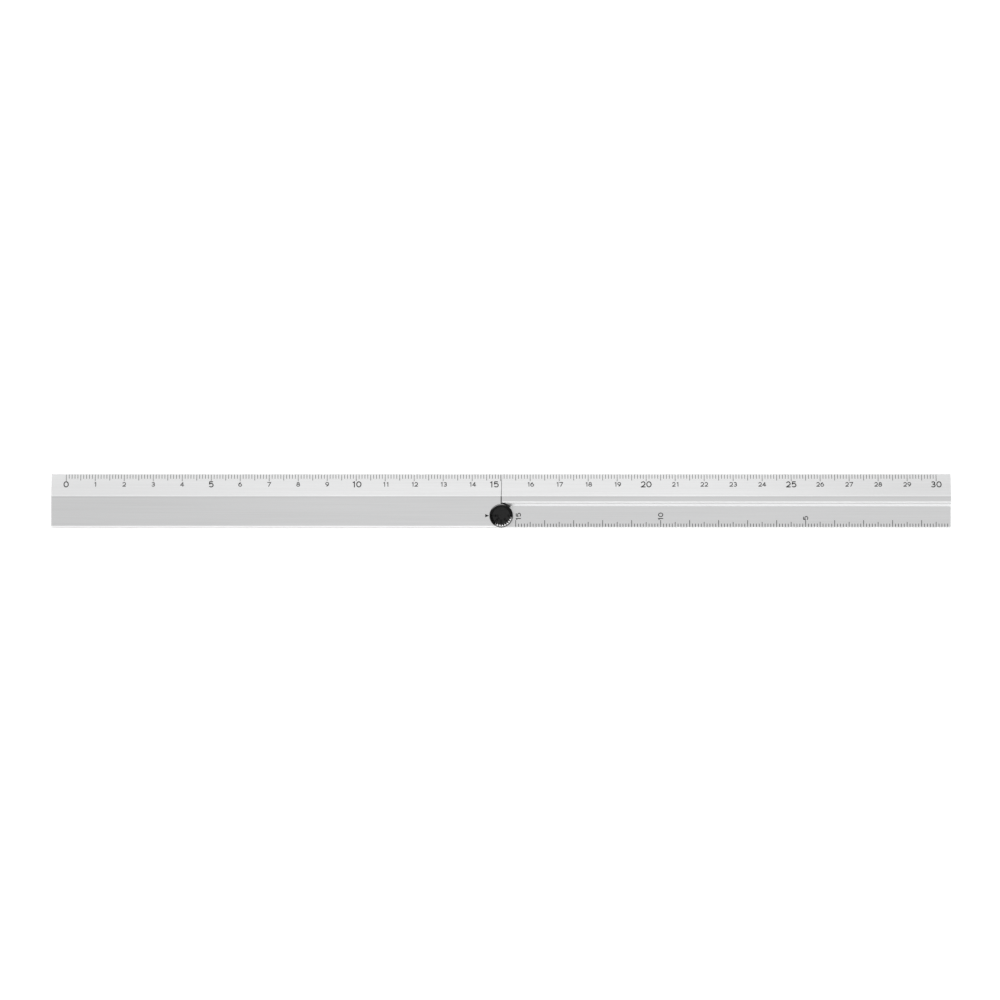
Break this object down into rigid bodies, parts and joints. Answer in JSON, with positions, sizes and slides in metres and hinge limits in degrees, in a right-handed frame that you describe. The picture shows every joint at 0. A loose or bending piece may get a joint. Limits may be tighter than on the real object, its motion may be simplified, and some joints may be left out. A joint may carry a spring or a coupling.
{
  "type": "folding ruler",
  "caption": "Folding aluminium straight ruler with bevelled scale edge, lapped halves and a friction hinge under a round angle dial.",
  "frame": {"origin": "middle of the open ruler's footprint, on the plane that its back rests on", "axes": "+X along the open ruler towards the half that swings, +Y to the bevelled scale edge, +Z out of the printed face"},
  "size_m": [0.31, 0.0184, 0.0055],
  "materials": {
    "anodised_aluminium": "extruded, brushed lengthwise, clear anodised, satin",
    "dial_black": "turned and black anodised, satin face",
    "stainless_steel": "turned or stamped, plain",
    "white_acetal": "moulded, slippery"
  },
  "bodies": {
    "left_half": {"left_rule": "anodised_aluminium", "tab_bush": "white_acetal"},
    "right_half": {"right_rule": "anodised_aluminium", "angle_dial": "dial_black", "pivot_hub": "stainless_steel", "pivot_screw": "stainless_steel", "screw_washer": "stainless_steel", "thrust_washer": "stainless_steel", "wave_washer": "stainless_steel", "friction_washer": "white_acetal"}
  },
  "joints": [
    {"name": "fold", "type": "hinge", "parent": "left_half", "child": "right_half", "pos_m": [0, -0.00515, 0.00225], "axis": [0, 0, -1], "range_deg": [0, 180]}
  ]
}
